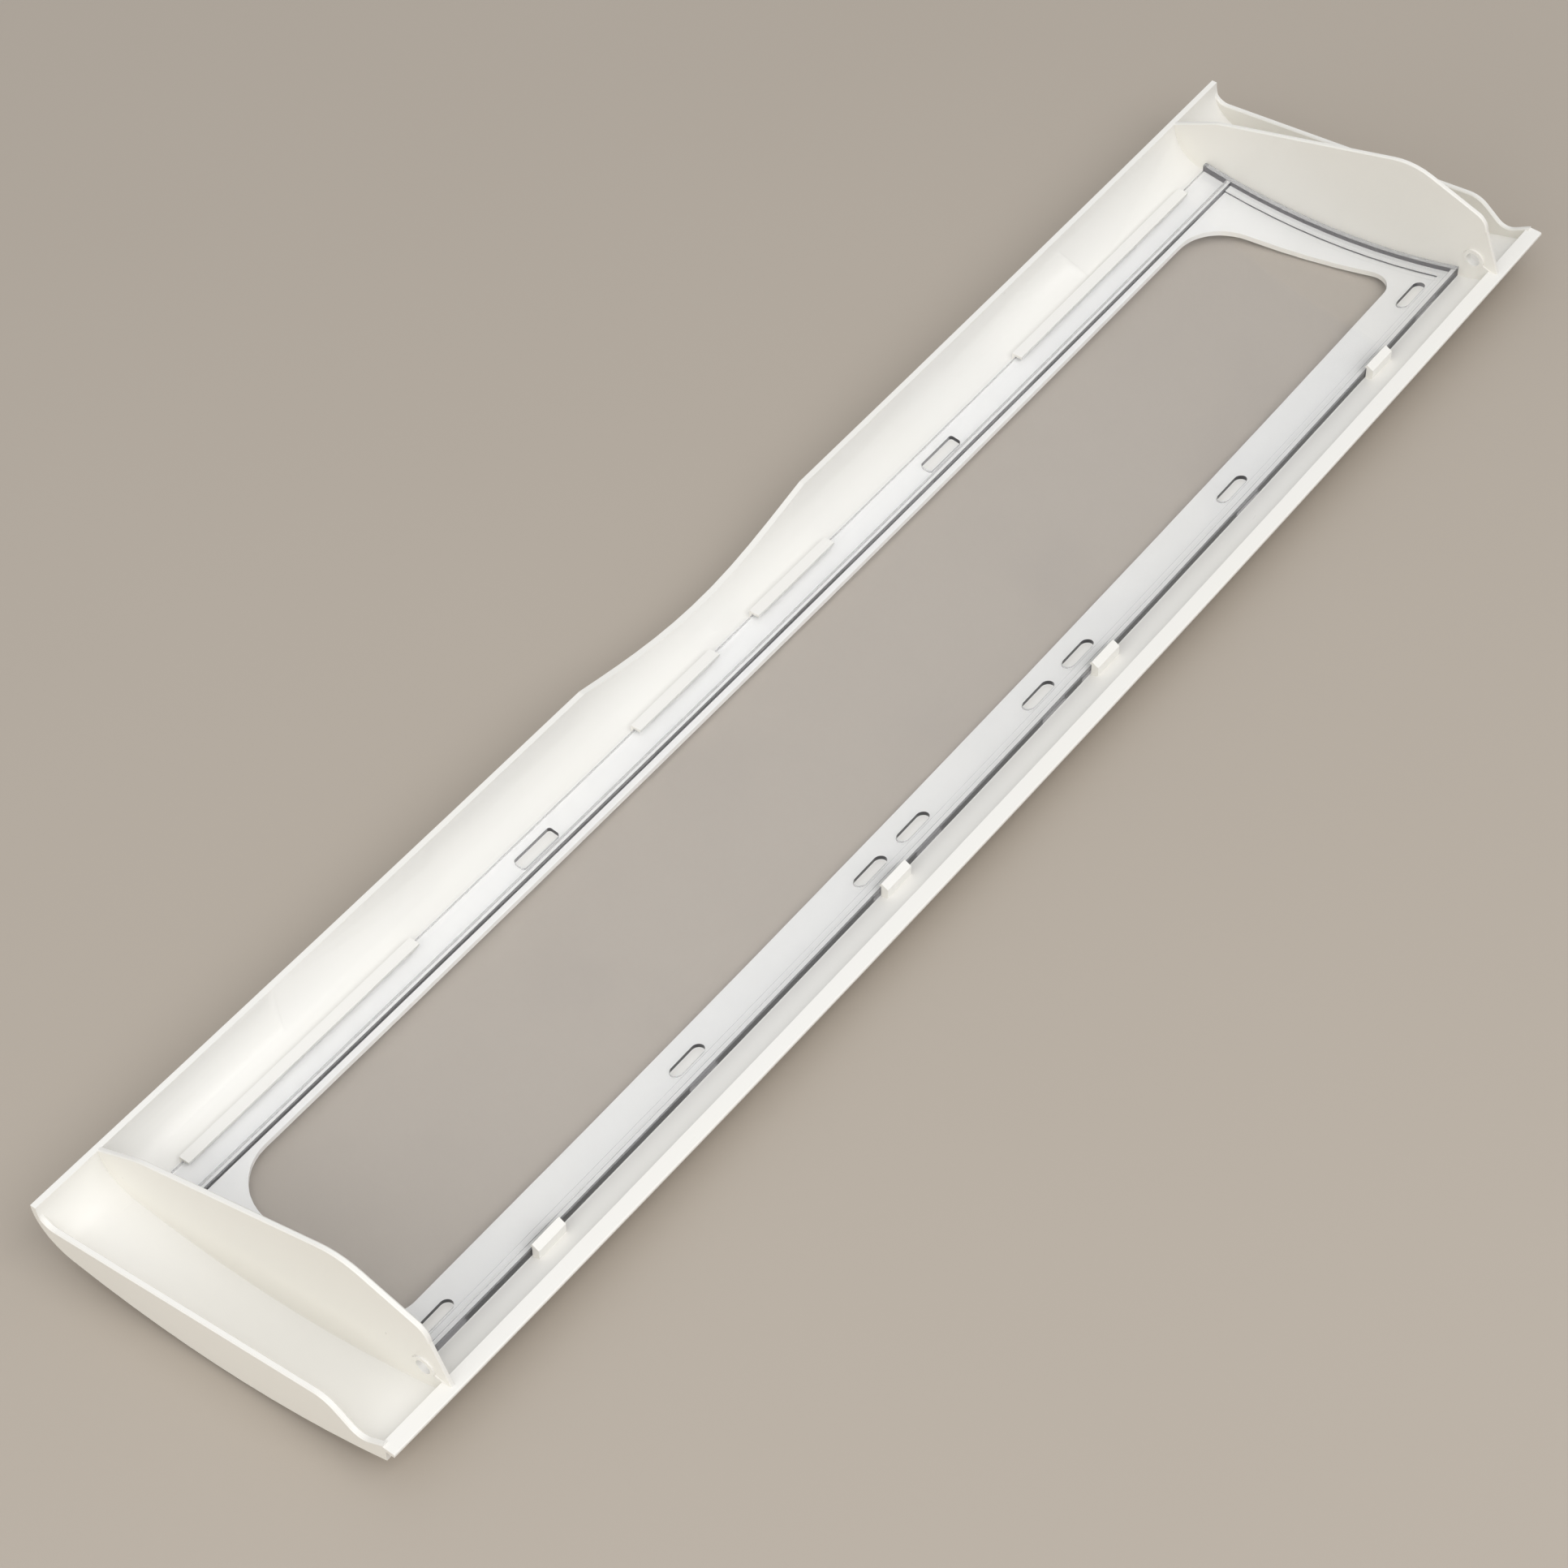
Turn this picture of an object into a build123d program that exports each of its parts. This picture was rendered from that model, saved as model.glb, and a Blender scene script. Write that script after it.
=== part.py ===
from build123d import *
from math import acos, asin, atan2, cos, degrees, sin, sqrt
import os

# A bow-fronted drawer front, lying on its face, with a clear window clipped in behind its opening.
# +X runs along the length, +Y points to the top edge, +Z to the back of the drawer front.

# Frame shell, in millimetres
length = 760.0           # over the end walls
depth = 170.0            # top edge to lip, at the ends
bow = 5.0                # bulge of the front at mid-length
lip_sweep = 2.2          # extra depth of the lower edge at mid-length
wall = 2.5               # thickness of the moulding
front_radius = 300.0     # curve of the front across its depth, outside
crown_setback = 67.0     # top edge to the lowest line of the front
roll_radius = 20.5       # rolled top edge, outside
lean = 4.1               # degrees it tips towards the lip when laid on its face

# Lower lip
lip_rise = 8.3           # top of the lip above the outside of the front
lip_width = 6.6
lip_thickness = 1.9
lip_round = 0.7

# Finger scoop in the top edge
scoop_width = 144.0
scoop_depth = 8.9

# Window opening
opening_setback = 37.0   # top edge to the opening
opening_from_lip = 42.8
opening_top_inset = 24.7  # fin to the end of the opening's upper edge
opening_low_inset = 11.2
opening_top_corner = 24.0
opening_low_corner = 11.0

# End walls: their top edge dips behind the rolled edge, climbs, and drops in an S to the lip
dip_setback = 4.6
dip_drop = 9.0           # below the top edge
dip_round = 7.0
crest_from_lip = 31.0
crest_rise = 5.8         # above the lip
crest_round = 13.0
valley_from_lip = 16.5
valley_drop = 5.6        # below the lip
valley_round = 7.0
end_nub = 1.2            # how far the end wall stands above the lip
edge_break = 0.5         # broken edges of the end walls and fins

# Fins that carry the bin, one inside each end pocket
fin_inset = 31.9         # end of the frame to the fin's outer face
fin_thickness = 2.2
fin_tuck = 0.4           # fin starts this far below the top edge
brow_setback = 23.6
brow_rise = 11.0         # above the top edge
brow_round = 30.0
peak_from_lip = 49.0
peak_rise = 39.0         # above the lip
peak_round = 32.0
shoulder_from_lip = 11.0
shoulder_rise = 26.1     # above the lip
shoulder_round = 8.0
corner_from_lip = 10.0
corner_rise = 20.5       # above the lip
corner_round = 0.8
tip_from_lip = 1.6

# Pivot bore and stepped corner at the lower end of each fin
bore_radius = 3.2
bore_from_lip = 14.0
bore_rise = 3.0          # above the lip
boss_radius = 4.8
boss_height = 0.5
facet_from_lip = 19.2
facet_rise = 4.4         # above the lip
facet_depth = 0.35

# Clear window
seat_gap = 0.3           # clearance between the window and the frame
end_gap = 0.4            # clearance between the window and the fins
pane = 2.0
pane_setback = 20.5      # top edge to the window's upper edge
pane_from_lip = 20.5
rim_thickness = 2.2
rim_height = 3.0         # above the pane
rib_margin = 4.0         # far face of the rib to the opening it runs beside
ledge_width = 4.2
ledge_height = 0.8       # above the pane
slot_length = 18.0
slot_width = 5.6
slot_from_edge = 10.7    # window's lower edge to the middle of the slots
mid_slot_places = (42.2, 69.8, 182.7)        # either side of mid-length
end_slot_inset = 21.4    # fin to the middle of the last slot
key_length = 22.0
key_width = 5.6
key_corner = 1.4
key_margin = 2.4         # key slot to the rib
key_place = 133.5        # either side of mid-length

# Hooks over the window's upper edge and snaps over its lower rim
mid_hook_place = 13.0    # near end of the short hooks, either side of mid-length
mid_hook_length = 51.0
end_hook_inset = 19.7    # fin to the far end of the long hooks
end_hook_length = 128.0
hook_base = 1.2
hook_reach = 3.6
hook_thickness = 1.3
mid_snap_place = 70.5    # either side of mid-length
end_snap_inset = 68.7    # fin to the middle of the last snap
snap_length = 15.0
snap_width = 3.2
snap_barb = 1.1
snap_thickness = 1.6

os.makedirs("parts", exist_ok=True)

# Where those sizes put things: y across the depth, v above the lowest line of the front
half_length = length / 2
top_y = (depth + lip_sweep) / 2
lip_y = top_y - depth
crown_y = top_y - crown_setback
roll_y = top_y - roll_radius
roll_v = front_radius - sqrt((front_radius - roll_radius) ** 2 - (crown_setback - roll_radius) ** 2)
join_angle = degrees(atan2(roll_v - front_radius, roll_y - crown_y))
riser_in_y = lip_y + lip_width
riser_out_y = riser_in_y - wall
riser_mid_y = riser_in_y - wall / 2
fin_x = half_length - fin_inset - fin_thickness
pane_half = fin_x - end_gap
pane_top_y = top_y - pane_setback
pane_low_y = lip_y + pane_from_lip
pane_seat = wall + seat_gap
pane_mid = pane_seat + pane / 2
pane_face = pane_seat + pane
rib_y = top_y - opening_setback + rib_margin
clear_height = roll_v + bow + peak_rise


# Height of the front's curve, or of an offset inside it, above its lowest line
def floor_v(y, offset):
    return front_radius - sqrt((front_radius - offset) ** 2 - (y - crown_y) ** 2)


lip_height = floor_v(riser_in_y, 0) + lip_rise

# The front bulges along its length: every section is turned about one far axis
bow_radius = (half_length**2 + bow**2) / (2 * bow)
bow_axis = Axis((0, 0, bow_radius), (0, -1, 0))


def lift(x):
    return bow_radius - sqrt(bow_radius**2 - x**2)


def station(x):
    turn = asin(x / bow_radius)
    return Plane((x, 0, lift(x)), x_dir=(0, 1, 0), z_dir=(cos(turn), 0, sin(turn)))


def turn_between(x0, x1):
    return degrees(asin(x1 / bow_radius) - asin(x0 / bow_radius))


def sweep_at(x):
    return lip_sweep * (1 - (x / half_length) ** 2)


def floor_angle(y, offset):
    return -degrees(acos((y - crown_y) / (front_radius - offset)))


def floor_arc(offset, rise, start_angle, end_y):
    sweep = floor_angle(end_y, offset) - start_angle
    return CenterArc((crown_y, front_radius + rise), front_radius - offset, start_angle, sweep)


# Rolled edge and front curve down to end_y; gives back the first and last points
def front_curve(offset, rise, end_y, start_drop=0.0):
    start_angle = -degrees(asin(start_drop / (roll_radius - offset)))
    roll = CenterArc((roll_y, roll_v + rise), roll_radius - offset, start_angle, join_angle - start_angle)
    floor = floor_arc(offset, rise, join_angle, end_y)
    return roll @ 0, floor @ 1


# Closed band of the front curve between two offsets
def floor_band(outer, inner, high_y, low_y):
    outside = floor_arc(outer, 0, floor_angle(high_y, outer), low_y)
    inside = floor_arc(inner, 0, floor_angle(high_y, inner), low_y)
    Line(outside @ 0, inside @ 0)
    Line(outside @ 1, inside @ 1)


def swept_edge(half_x, y):
    end_y = y - sweep_at(half_x)
    return Bezier((-half_x, end_y), (0, 2 * (y - lip_sweep) - end_y), (half_x, end_y))


# Plan outlines: a strip along the lower edge, and a panel with a straight upper edge
def swept_strip(half_x, high_y, low_y):
    high_edge = swept_edge(half_x, high_y)
    low_edge = swept_edge(half_x, low_y)
    Line(high_edge @ 0, low_edge @ 0)
    Line(high_edge @ 1, low_edge @ 1)


def swept_panel(half_x, high_y, low_y):
    low_edge = swept_edge(half_x, low_y)
    Polyline(low_edge @ 1, (half_x, high_y), (-half_x, high_y), low_edge @ 0)


# Edges along the free top of a plate that stands square to X
def free_edges(plate):
    edges = [edge for face in plate.faces() if face.normal_at().Z > 0.1 for edge in face.edges()]
    return [edge for edge in edges if edge.bounding_box().size.X < edge_break / 10]


first_x = -half_length - wall
full_turn = turn_between(first_x, -first_x)
below = Plane.XY.offset(-wall)

with BuildPart() as riser:
    with BuildSketch(station(first_x)):
        with BuildLine():
            foot = floor_arc(wall / 2, 0, floor_angle(riser_in_y + wall, wall / 2), lip_y - lip_sweep)
            Polyline(foot @ 1, ((foot @ 1).X, lip_height), ((foot @ 0).X, lip_height), foot @ 0)
        make_face()
    revolve(axis=bow_axis, revolution_arc=full_turn)
    with BuildSketch(below):
        with BuildLine():
            swept_strip(half_length, riser_in_y, riser_out_y)
        make_face()
    extrude(amount=clear_height, mode=Mode.INTERSECT)

with BuildPart() as lip:
    with BuildSketch(station(first_x)):
        with BuildLine():
            low_y = lip_y - lip_sweep - wall
            high_y = riser_in_y + wall
            under_v = lip_height - lip_thickness
            under_side = Line((low_y, under_v), (high_y, under_v))
            Polyline(under_side @ 1, (high_y, lip_height), (low_y, lip_height), under_side @ 0)
        make_face()
    revolve(axis=bow_axis, revolution_arc=full_turn)
    with BuildSketch(below):
        with BuildLine():
            swept_strip(half_length, riser_in_y, lip_y)
        make_face()
    extrude(amount=clear_height, mode=Mode.INTERSECT)
    long_edges = lip.edges().filter_by(lambda edge: edge.length > length / 2)
    fillet(long_edges.sort_by(Axis.Y)[:2], lip_round)

with BuildPart() as end_wall:
    rise = lift(half_length)
    lip_v = lip_height + rise
    with BuildSketch(Plane.YZ.offset(half_length - wall)):
        with BuildLine():
            high_end, low_end = front_curve(wall / 2, rise, riser_mid_y)
            FilletPolyline(
                high_end,
                (top_y - dip_setback, roll_v + rise - dip_drop),
                (lip_y + crest_from_lip, lip_v + crest_rise),
                (lip_y + valley_from_lip, lip_v - valley_drop),
                (riser_mid_y, lip_v + end_nub),
                radius=[dip_round, crest_round, valley_round],
            )
            Line((riser_mid_y, lip_v + end_nub), low_end)
        make_face()
    extrude(amount=wall)
    chamfer(free_edges(end_wall), edge_break)

with BuildPart() as fin:
    rise = lift(fin_x)
    lip_v = lip_height + rise
    tip = (lip_y + tip_from_lip, lip_v - lip_thickness / 2)
    corner = (lip_y + corner_from_lip, lip_v + corner_rise)
    with BuildSketch(Plane.YZ.offset(fin_x)):
        with BuildLine():
            high_end, low_end = front_curve(wall / 2, rise, riser_mid_y, fin_tuck)
            FilletPolyline(
                high_end,
                (top_y - brow_setback, roll_v + rise + brow_rise),
                (lip_y + peak_from_lip, lip_v + peak_rise),
                (lip_y + shoulder_from_lip, lip_v + shoulder_rise),
                corner,
                tip,
                radius=[brow_round, peak_round, shoulder_round, corner_round],
            )
            Polyline(tip, (riser_mid_y, tip[1]), low_end)
        make_face()
    extrude(amount=fin_thickness)
    chamfer(free_edges(fin), edge_break)
    facet = [corner, (lip_y + facet_from_lip, lip_v + facet_rise), tip]
    bore_centre = (lip_y + bore_from_lip, lip_v + bore_rise)
    for face_x, inward in ((fin_x, 1), (fin_x + fin_thickness, -1)):
        with BuildSketch(Plane.YZ.offset(face_x)):
            Polygon(*facet, align=None)
        extrude(amount=inward * facet_depth, mode=Mode.SUBTRACT)
    for radius, mode in ((boss_radius, Mode.ADD), (bore_radius, Mode.SUBTRACT)):
        with BuildSketch(Plane.YZ.offset(fin_x - boss_height)):
            with Locations(bore_centre):
                Circle(radius)
        extrude(amount=fin_thickness + 2 * boss_height, mode=mode)

# Cutter for the window opening, a rounded trapezoid whose lower edge follows the lip
with BuildPart() as opening:
    with BuildSketch(below):
        with BuildLine():
            opening_y = top_y - opening_setback
            low_edge = swept_edge(fin_x - opening_low_inset, lip_y + opening_from_lip)
            high_x = fin_x - opening_top_inset
            Polyline(low_edge @ 1, (high_x, opening_y), (-high_x, opening_y), low_edge @ 0)
        make_face()
    extrude(amount=wall + lip_height)
    fillet(opening.edges().filter_by(Axis.Z).group_by(Axis.Y)[-1], opening_top_corner)
    fillet(opening.edges().filter_by(Axis.Z).group_by(Axis.Y)[0], opening_low_corner)

with BuildPart() as drawer_frame:
    with BuildSketch(station(first_x)):
        with BuildLine():
            outer_high, outer_low = front_curve(0, 0, lip_y - lip_sweep)
            inner_high, inner_low = front_curve(wall, 0, lip_y - lip_sweep)
            Line(outer_high, inner_high)
            Line(outer_low, inner_low)
        make_face()
    revolve(axis=bow_axis, revolution_arc=full_turn)
    with BuildSketch(below):
        with BuildLine():
            swept_panel(half_length, top_y + wall, riser_out_y)
        make_face()
    extrude(amount=clear_height, mode=Mode.INTERSECT)

    add(opening.part, mode=Mode.SUBTRACT)

    # Finger scoop, cut through the rolled edge alone
    with BuildSketch(Plane.XZ.offset(-top_y - wall)):
        with BuildLine():
            edge_v = roll_v + lift(scoop_width / 2)
            scoop_ends = (-scoop_width / 2, edge_v), (scoop_width / 2, edge_v)
            scoop = ThreePointArc(scoop_ends[0], (0, roll_v - scoop_depth), scoop_ends[1])
            Polyline(scoop @ 1, (scoop_width / 2, clear_height), (-scoop_width / 2, clear_height), scoop @ 0)
        make_face()
    extrude(amount=roll_radius, mode=Mode.SUBTRACT)

    add(riser.part)
    add(lip.part)
    for plate in (end_wall.part, fin.part):
        add(plate)
        add(plate.mirror(Plane.YZ))

    # Hooks: each reaches over the window's upper edge
    base_y = pane_top_y + seat_gap
    hook_v = floor_v(pane_top_y, pane_face) + seat_gap
    end_hook_x = fin_x - end_hook_inset
    hook_spans = (
        (mid_hook_place, mid_hook_place + mid_hook_length),
        (end_hook_x - end_hook_length, end_hook_x),
    )
    for near_x, far_x in hook_spans:
        for x in (near_x, -far_x):
            with BuildSketch(station(x)):
                Polygon(
                    (base_y, floor_v(base_y, wall / 2)),
                    (base_y + hook_base, floor_v(base_y + hook_base, wall / 2)),
                    (base_y + hook_base, hook_v + hook_thickness),
                    (base_y - hook_reach, hook_v + hook_thickness),
                    (base_y - hook_reach, hook_v),
                    (base_y, hook_v),
                    align=None,
                )
            revolve(axis=bow_axis, revolution_arc=turn_between(near_x, far_x))

    # Snaps: each stands behind the window's lower rim, with a barb over it
    for place in (mid_snap_place, fin_x - end_snap_inset):
        for x in (place, -place):
            back_y = pane_low_y - sweep_at(x) - seat_gap
            barb_v = floor_v(back_y, pane_face + rim_height) + seat_gap
            with BuildSketch(station(x - snap_length / 2)):
                Polygon(
                    (back_y, floor_v(back_y, wall / 2)),
                    (back_y, barb_v),
                    (back_y + snap_barb, barb_v),
                    (back_y, barb_v + snap_thickness),
                    (back_y - snap_width, barb_v),
                    (back_y - snap_width, floor_v(back_y - snap_width, wall / 2)),
                    align=None,
                )
            revolve(axis=bow_axis, revolution_arc=turn_between(x - snap_length / 2, x + snap_length / 2))


# One layer of the clear window, between two offsets of the front curve
def window_band(outer, inner):
    with BuildSketch(station(first_x)) as section:
        with BuildLine():
            floor_band(outer, inner, pane_top_y + wall, pane_low_y - lip_sweep - wall)
        make_face()
    revolve(section.sketch, axis=bow_axis, revolution_arc=full_turn)


def window_outline(margin, high_y, mode=Mode.ADD):
    with BuildLine() as outline:
        swept_panel(pane_half - margin, high_y, pane_low_y + margin)
    make_face(outline.edges(), mode=mode)


with BuildPart() as window_rim:
    window_band(pane_mid, pane_face + rim_height)
    with BuildSketch(below):
        window_outline(0, pane_top_y)
        window_outline(rim_thickness, rib_y - rim_thickness, Mode.SUBTRACT)
        with Locations((0, rib_y)):
            Rectangle(
                2 * (pane_half - rim_thickness),
                pane_setback,
                align=(Align.CENTER, Align.MIN),
                mode=Mode.SUBTRACT,
            )
    extrude(amount=clear_height, mode=Mode.INTERSECT)

with BuildPart() as window_ledge:
    window_band(pane_mid, pane_face + ledge_height)
    with BuildSketch(below):
        window_outline(0, rib_y)
        window_outline(rim_thickness + ledge_width, rib_y - rim_thickness, Mode.SUBTRACT)
    extrude(amount=clear_height, mode=Mode.INTERSECT)

with BuildPart() as clear_window:
    window_band(pane_seat, pane_face)
    with BuildSketch(below):
        window_outline(0, pane_top_y)
    extrude(amount=clear_height, mode=Mode.INTERSECT)
    add(window_rim.part)
    add(window_ledge.part)
    with BuildSketch(below):
        for place in (*mid_slot_places, fin_x - end_slot_inset):
            for x in (place, -place):
                with Locations((x, pane_low_y + slot_from_edge - sweep_at(x))):
                    SlotOverall(slot_length, slot_width)
        key_y = rib_y + key_margin + key_width / 2
        with Locations((key_place, key_y), (-key_place, key_y)):
            RectangleRounded(key_length, key_width, key_corner)
    extrude(amount=clear_height, mode=Mode.SUBTRACT)

# Laid on its bulging face it leans towards the lip, with the origin under the middle of its box
laid_box = Compound([drawer_frame.part, clear_window.part]).rotate(Axis.X, lean).bounding_box()
resting = Location((0, -laid_box.center().Y, -laid_box.min.Z), (lean, 0, 0))

# The frame's file holds edges as plain curves, which a reader lays on the large surfaces by itself
drawer_frame.part.move(resting)
drawer_frame.part.label = "drawer_frame"
export_step(drawer_frame.part, "parts/drawer_frame.step", write_pcurves=False)

clear_window.part.move(resting)
clear_window.part.label = "clear_window"
export_step(clear_window.part, "parts/clear_window.step")
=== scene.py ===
import bpy
from math import radians
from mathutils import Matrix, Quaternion, Vector

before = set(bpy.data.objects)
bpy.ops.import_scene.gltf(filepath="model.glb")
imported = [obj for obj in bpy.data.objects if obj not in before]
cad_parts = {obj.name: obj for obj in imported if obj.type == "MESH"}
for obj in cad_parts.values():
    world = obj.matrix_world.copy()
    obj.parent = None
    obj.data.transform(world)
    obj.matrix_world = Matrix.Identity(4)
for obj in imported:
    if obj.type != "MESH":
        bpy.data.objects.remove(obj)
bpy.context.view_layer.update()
print("frame loaded:", sorted(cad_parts))


# A node's output socket that can be used in sums
class Wire:
    def __init__(self, tree, socket=None):
        self.tree = tree
        self.socket = socket

    def add(self, kind, settings=None, inputs=None, out=0):
        node = self.tree.nodes.new(kind)
        for name, value in (settings or {}).items():
            if name == "stops":
                ramp = node.color_ramp
                while len(ramp.elements) < len(value):
                    ramp.elements.new(1.0)
                for element, (place, colour) in zip(ramp.elements, value):
                    element.position = place
                    element.color = (*colour, 1.0)
            else:
                setattr(node, name, value)
        for name, value in (inputs or {}).items():
            if isinstance(value, Wire):
                self.tree.links.new(value.socket, node.inputs[name])
            else:
                node.inputs[name].default_value = value
        return Wire(self.tree, node.outputs[out] if node.outputs else None)

    def calc(self, operation, first, second):
        return self.add("ShaderNodeMath", {"operation": operation}, {0: first, 1: second})

    def __add__(self, other):
        return self.calc("ADD", self, other)

    def __radd__(self, other):
        return self.calc("ADD", other, self)

    def __sub__(self, other):
        return self.calc("SUBTRACT", self, other)

    def __rsub__(self, other):
        return self.calc("SUBTRACT", other, self)

    def __mul__(self, other):
        return self.calc("MULTIPLY", self, other)

    def __rmul__(self, other):
        return self.calc("MULTIPLY", other, self)

    def __abs__(self):
        return self.calc("ABSOLUTE", self, 0.0)

    def ramp(self, low, high):    # 0 below low, 1 above high, smooth between
        return self.add("ShaderNodeMapRange", {"interpolation_type": "SMOOTHSTEP"},
                        {"Value": self, "From Min": low, "From Max": high})

    def tint(self, first, second):    # self picks between two colours
        return self.add("ShaderNodeMix", {"data_type": "RGBA"}, {0: self, 6: first, 7: second}, out=2)


def newMaterial(name):
    material = bpy.data.materials.new(name)
    material.use_nodes = True
    material.node_tree.nodes.clear()
    return material, Wire(material.node_tree)


def spots(start, scale, detail=2.0, stretch=(1.0, 1.0, 1.0)):    # noise in object space, in metres
    place = start.add("ShaderNodeTexCoord", out=3)
    place = start.add("ShaderNodeMapping", {}, {"Vector": place, "Scale": stretch})
    return start.add("ShaderNodeTexNoise", {}, {"Vector": place, "Scale": scale, "Detail": detail})


def facing(start, axis):    # how squarely a face looks along X, Y or Z: 0 to 1
    normal = start.add("ShaderNodeNewGeometry", out=1)
    return abs(start.add("ShaderNodeSeparateXYZ", {}, {0: normal}, out=axis))


def dress(node, material):
    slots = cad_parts[node].data.materials
    slots.clear()
    slots.append(material)


# White moulding
whiteSet = {
    "cool": (0.872, 0.864, 0.838, 1.0),
    "warm": (0.87, 0.845, 0.78, 1.0),
    "paintedShadeFacing": (0.6, 0.95),      # fins and end walls, which look along the length, get a painted warm shade
    "paintedShadeWarmth": 0.75,             # share of the warm white painted on them as shade
    "cloudScale": 9.0,
    "cloudRange": (0.35, 0.75),
    "cloudWarmth": 0.18,
    "roughness": 0.30,
    "roughnessSpread": 0.10,
    "scuffScale": 160.0,
    "scuffDetail": 4.0,
    "scuffStretch": (0.25, 1.0, 1.0),    # drawn out along the length
    "peelScale": 900.0,
    "peelDetail": 1.0,
    "peelHeight": 0.00002,
    "peelStrength": 0.12,
    "ior": 1.5,
}


def whiteMoulding(s):
    material, start = newMaterial("white_moulding")
    clouds = spots(start, s["cloudScale"]).ramp(*s["cloudRange"])
    # painted warm shade on faces that look along the length, plus the moulding's own uneven cloudy
    # tone
    paintedShadeAndCloudTone = facing(start, 0).ramp(*s["paintedShadeFacing"]) * s["paintedShadeWarmth"] + clouds * s["cloudWarmth"]
    colour = paintedShadeAndCloudTone.tint(s["cool"], s["warm"])
    scuffs = spots(start, s["scuffScale"], s["scuffDetail"], s["scuffStretch"])
    gloss = (scuffs - 0.5) * s["roughnessSpread"] + s["roughness"]
    peel = spots(start, s["peelScale"], s["peelDetail"])
    bump = start.add("ShaderNodeBump", {}, {
        "Height": peel, "Strength": s["peelStrength"], "Distance": s["peelHeight"]})
    shader = start.add("ShaderNodeBsdfPrincipled", {}, {
        "Base Color": colour, "Roughness": gloss, "Normal": bump, "IOR": s["ior"]})
    start.add("ShaderNodeOutputMaterial", {}, {"Surface": shader})
    return material


# Clear window
clearSet = {
    "colour": (0.955, 0.96, 0.97, 1.0),
    "hazeColour": (0.93, 0.935, 0.95, 1.0),
    "levelFacing": (0.35, 0.7),    # from a face that stands up to one that lies flat
    "paintedSideShade": (0.66, 0.65, 0.68, 1.0),    # faces that stand up get a painted dark shade, standing in for the dark refraction at clear edges
    "paintedEdgeShadeColour": (0.10, 0.10, 0.11, 1.0),
    "paintedEdgeShadeShare": 0.40,             # share of the painted dark edge shade in what those faces show
    "paintedEdgeShadeRoughness": 0.25,
    "ior": 1.5,
    "roughness": 0.012,
    "smudgeRoughness": 0.05,
    "smudgeScale": 14.0,
    "smudgeDetail": 5.0,
    "smudgeRange": (0.5, 0.8),
    "flowScale": 26.0,
    "flowDetail": 2.0,
    "flowStretch": (0.3, 1.0, 1.0),
    "flowHeight": 0.00004,
    "flowStrength": 0.10,
}


def clearMoulding(s):
    material, start = newMaterial("clear_moulding")
    smudges = spots(start, s["smudgeScale"], s["smudgeDetail"]).ramp(*s["smudgeRange"])
    # standing faces carry painted shade: a darker tint on the glass and a dark shader mixed in
    upright = 1.0 - facing(start, 2).ramp(*s["levelFacing"])
    colour = upright.tint(smudges.tint(s["colour"], s["hazeColour"]), s["paintedSideShade"])
    gloss = smudges * s["smudgeRoughness"] + s["roughness"]
    flow = spots(start, s["flowScale"], s["flowDetail"], s["flowStretch"])
    bump = start.add("ShaderNodeBump", {}, {
        "Height": flow, "Strength": s["flowStrength"], "Distance": s["flowHeight"]})
    glass = start.add("ShaderNodeBsdfPrincipled", {}, {
        "Base Color": colour, "Roughness": gloss, "Normal": bump,
        "IOR": s["ior"], "Transmission Weight": 1.0})
    # dark shader mixed into standing faces as painted shade for the refraction at clear edges
    paintedEdgeShade = start.add("ShaderNodeBsdfPrincipled", {}, {
        "Base Color": s["paintedEdgeShadeColour"], "Roughness": s["paintedEdgeShadeRoughness"]})
    body = start.add("ShaderNodeMixShader", {}, {0: upright * s["paintedEdgeShadeShare"], 1: glass, 2: paintedEdgeShade})
    clear = start.add("ShaderNodeBsdfTransparent", {}, {"Color": s["hazeColour"]})
    lampRay = start.add("ShaderNodeLightPath", out=1)    # lets the lamps through to the frame
    shader = start.add("ShaderNodeMixShader", {}, {0: lampRay, 1: body, 2: clear})
    start.add("ShaderNodeOutputMaterial", {}, {"Surface": shader})
    return material


dress("drawer_frame", whiteMoulding(whiteSet))
dress("clear_window", clearMoulding(clearSet))
print("materials on the frame's nodes")


# Floor
floorSet = {
    "half": 4.0,
    "colour": (0.46, 0.41, 0.355, 1.0),
    "shade": (0.44, 0.39, 0.335, 1.0),
    "cloudScale": 3.0,
    "roughness": 0.65,
}


def layFloor(s):
    mesh = bpy.data.meshes.new("floor")
    h = s["half"]
    mesh.from_pydata([(-h, -h, 0), (h, -h, 0), (h, h, 0), (-h, h, 0)], [], [(0, 1, 2, 3)])
    floor = bpy.data.objects.new("floor", mesh)
    bpy.context.scene.collection.objects.link(floor)
    material, start = newMaterial("pale_floor")
    colour = spots(start, s["cloudScale"]).tint(s["colour"], s["shade"])
    shader = start.add("ShaderNodeBsdfPrincipled", {}, {
        "Base Color": colour, "Roughness": s["roughness"]})
    start.add("ShaderNodeOutputMaterial", {}, {"Surface": shader})
    mesh.materials.append(material)


layFloor(floorSet)
print("floor laid")


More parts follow.
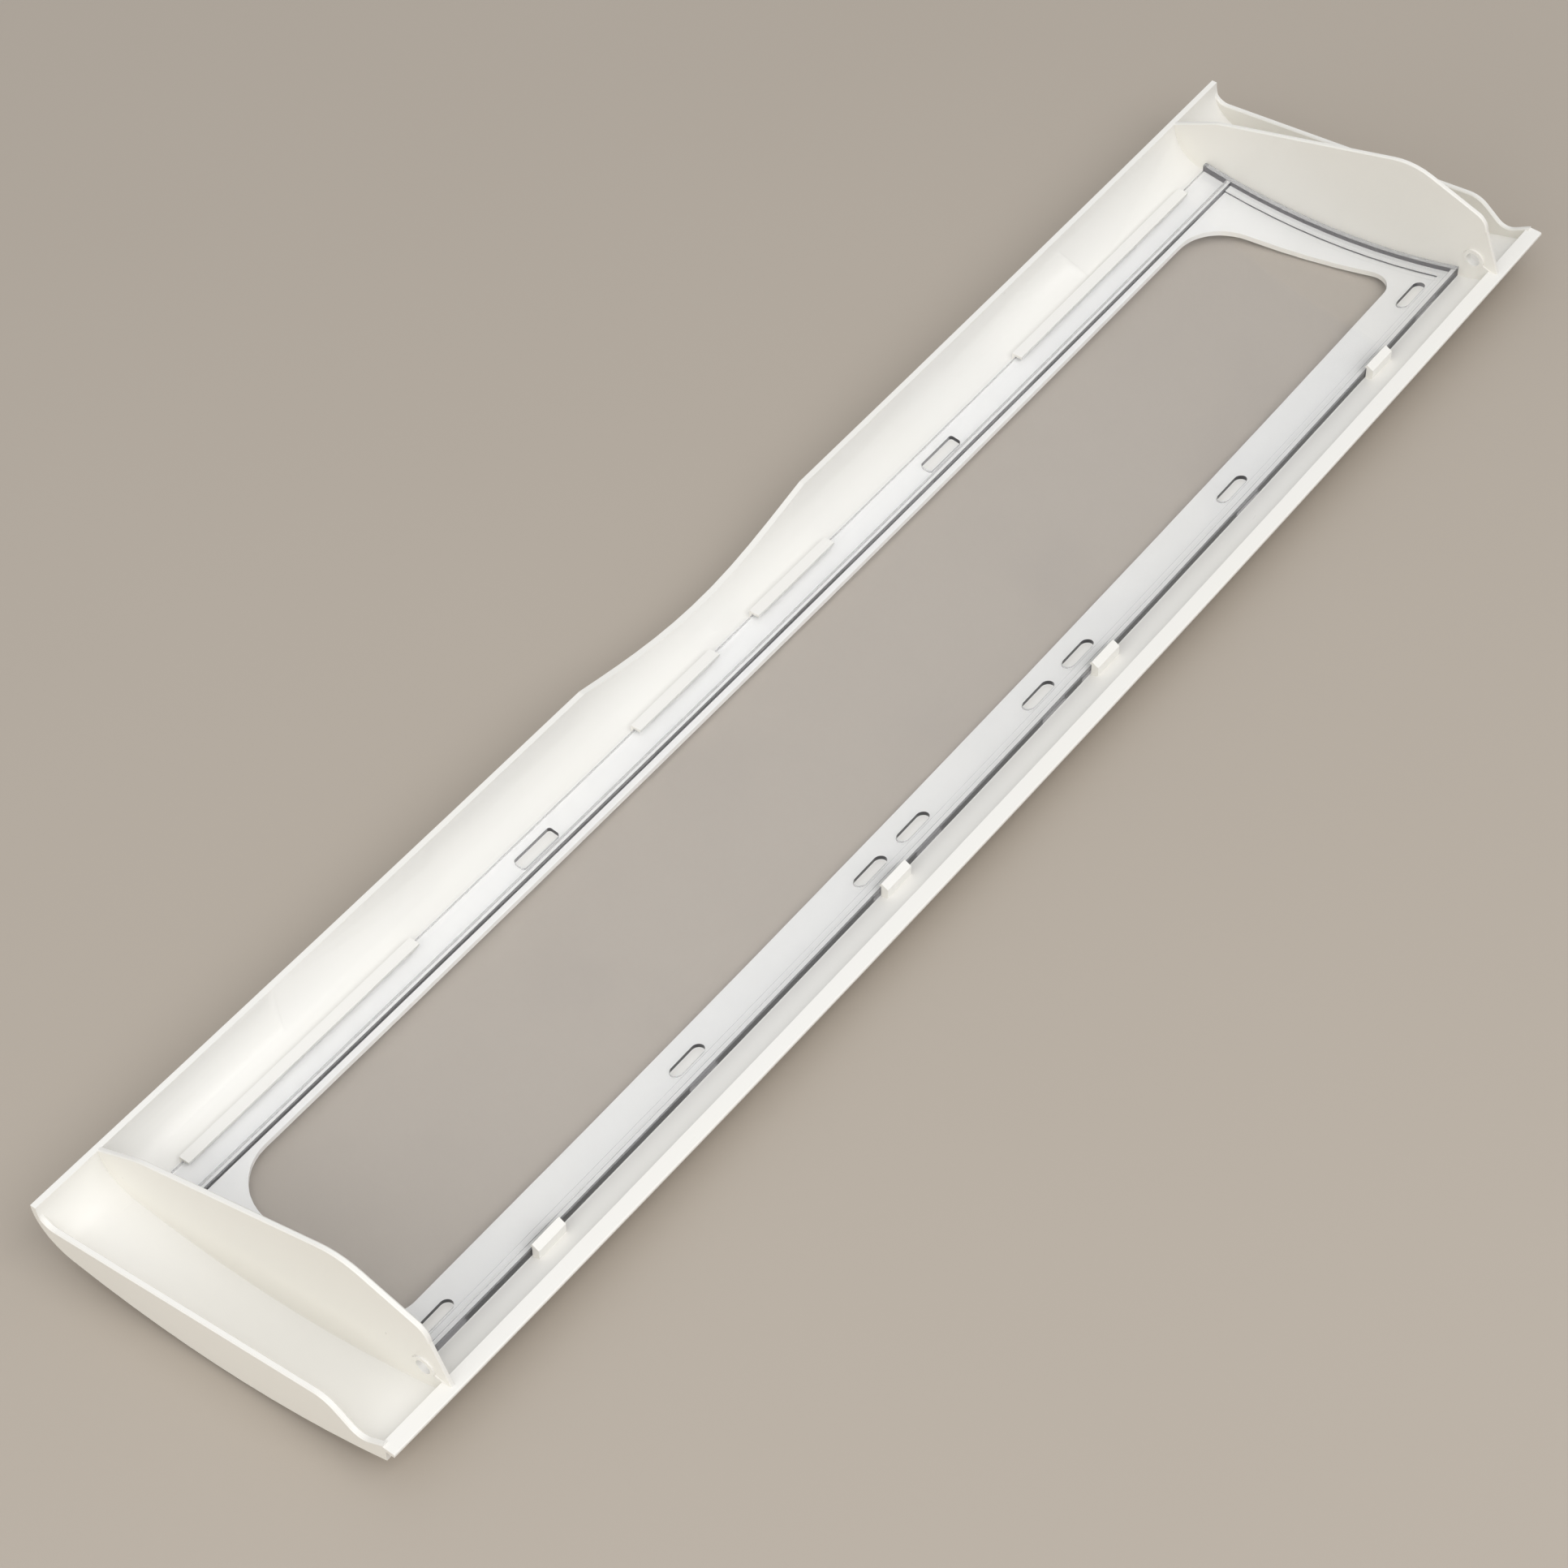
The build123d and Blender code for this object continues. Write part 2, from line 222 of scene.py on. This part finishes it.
# Soft light: an even sky, a large panel on the lip's side and one off the near end
lightSet = {
    "panels": (
        {"name": "key_panel", "spot": (-0.5, -1.6, 2.1), "size": (3.0, 2.0),
         "watts": 36.5, "colour": (1.0, 0.99, 0.97)},
        {"name": "fill_panel", "spot": (-2.4, -0.3, 1.2), "size": (2.0, 1.6),
         "watts": 17.0, "colour": (1.0, 0.99, 0.96)},
    ),
    "aim": (0.0, 0.0, 0.02),
    "skyTop": (1.0, 1.0, 1.0),
    "skyLow": (0.62, 0.61, 0.59),
    "skyFull": 0.7,            # height at which the sky reaches its top colour
    "skyStrength": 0.65,
}


def aimAt(obj, target):
    direction = Vector(target) - obj.location
    obj.rotation_mode = "QUATERNION"
    obj.rotation_quaternion = direction.to_track_quat("-Z", "Y")


def setLights(s):
    for panel in s["panels"]:
        lamp = bpy.data.lights.new(panel["name"], "AREA")
        lamp.shape = "RECTANGLE"
        lamp.size, lamp.size_y = panel["size"]
        lamp.energy = panel["watts"]
        lamp.color = panel["colour"]
        obj = bpy.data.objects.new(panel["name"], lamp)
        obj.location = panel["spot"]
        bpy.context.scene.collection.objects.link(obj)
        aimAt(obj, s["aim"])
    world = bpy.data.worlds.new("studio")
    world.use_nodes = True
    world.node_tree.nodes.clear()
    start = Wire(world.node_tree)
    direction = start.add("ShaderNodeTexCoord", out=0)
    height = start.add("ShaderNodeSeparateXYZ", {}, {0: direction}, out=2)
    stops = ((0.0, s["skyLow"]), (s["skyFull"], s["skyTop"]))
    sky = start.add("ShaderNodeValToRGB", {"stops": stops}, {0: height})
    light = start.add("ShaderNodeBackground", {}, {0: sky, 1: s["skyStrength"]})
    start.add("ShaderNodeOutputWorld", {}, {0: light})
    bpy.context.scene.world = world


setLights(lightSet)
print("lights set")


# Camera
cameraSet = {
    "spot": (-0.8637, -0.7161, 1.1719),
    "aim": (-0.0613, -0.0071, 0.0200),
    "roll": -5.71,           # degrees
    "lens": 93.58,           # millimetres
    "sensor": 36.0,
}


def setCamera(s):
    data = bpy.data.cameras.new("camera")
    data.sensor_width = s["sensor"]
    data.lens = s["lens"]
    camera = bpy.data.objects.new("camera", data)
    camera.location = s["spot"]
    bpy.context.scene.collection.objects.link(camera)
    aimAt(camera, s["aim"])
    roll = Quaternion((0, 0, 1), radians(s["roll"]))
    camera.rotation_quaternion = camera.rotation_quaternion @ roll
    bpy.context.scene.camera = camera


setCamera(cameraSet)
bpy.context.scene.view_settings.view_transform = "Standard"
print("camera set")
